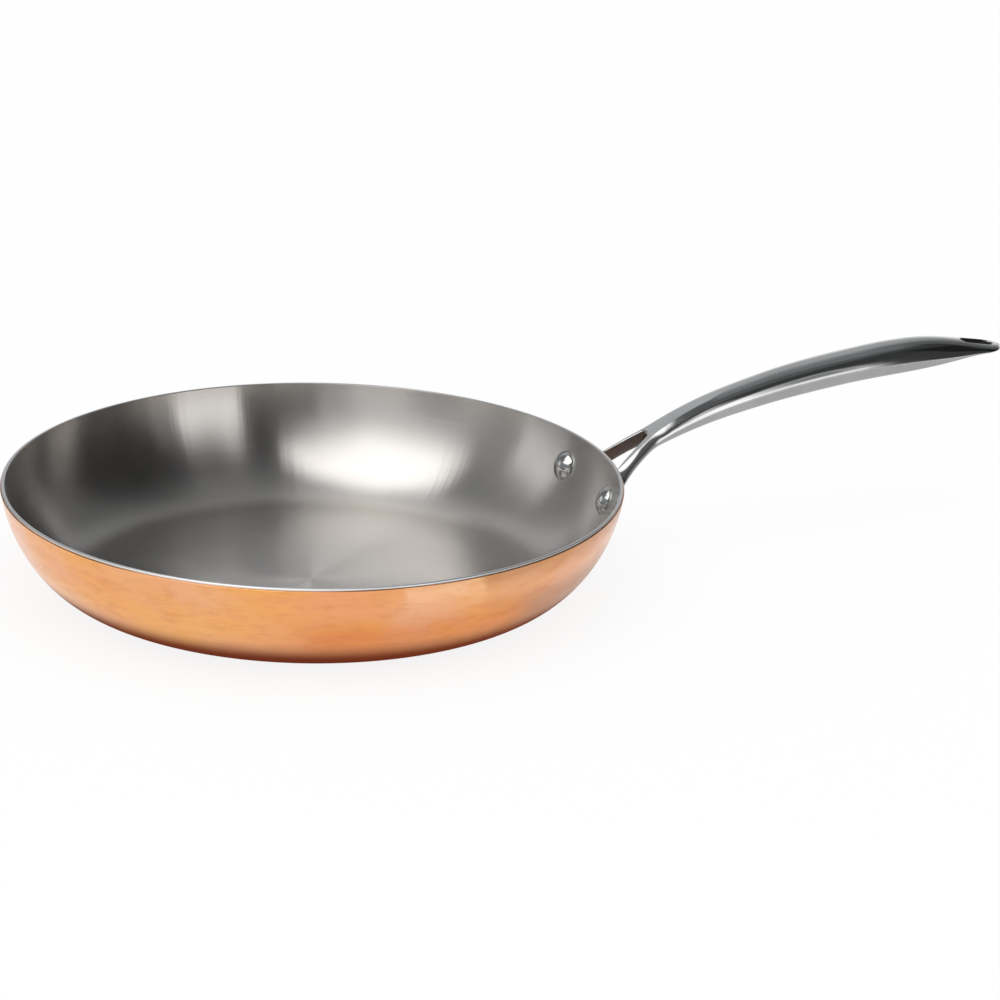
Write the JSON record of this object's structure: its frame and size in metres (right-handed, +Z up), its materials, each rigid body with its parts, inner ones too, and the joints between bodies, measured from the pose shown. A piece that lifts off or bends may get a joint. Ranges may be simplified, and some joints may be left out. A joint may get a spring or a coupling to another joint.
{
  "type": "frying pan",
  "caption": "Shallow round frying pan with a flared wall, copper outside and steel inside, and a long cast handle whose forked root is riveted to the wall.",
  "frame": {"origin": "on the floor under the middle of the flat base", "axes": "+X out along the handle, +Z up, +Y to the left when looking along the handle from the pan"},
  "size_m": [0.4753, 0.2796, 0.0852],
  "materials": {
    "copper": "satin copper with a blotchy patina",
    "core_aluminium": "cut edge",
    "liner_steel": "brushed in circles",
    "handle_steel": "polished",
    "rivet_steel": "polished"
  },
  "bodies": {
    "root": {"copper_shell": "copper", "aluminium_core": "core_aluminium", "steel_liner": "liner_steel", "handle": "handle_steel", "rivet_left": "rivet_steel", "rivet_right": "rivet_steel"}
  },
  "joints": []
}
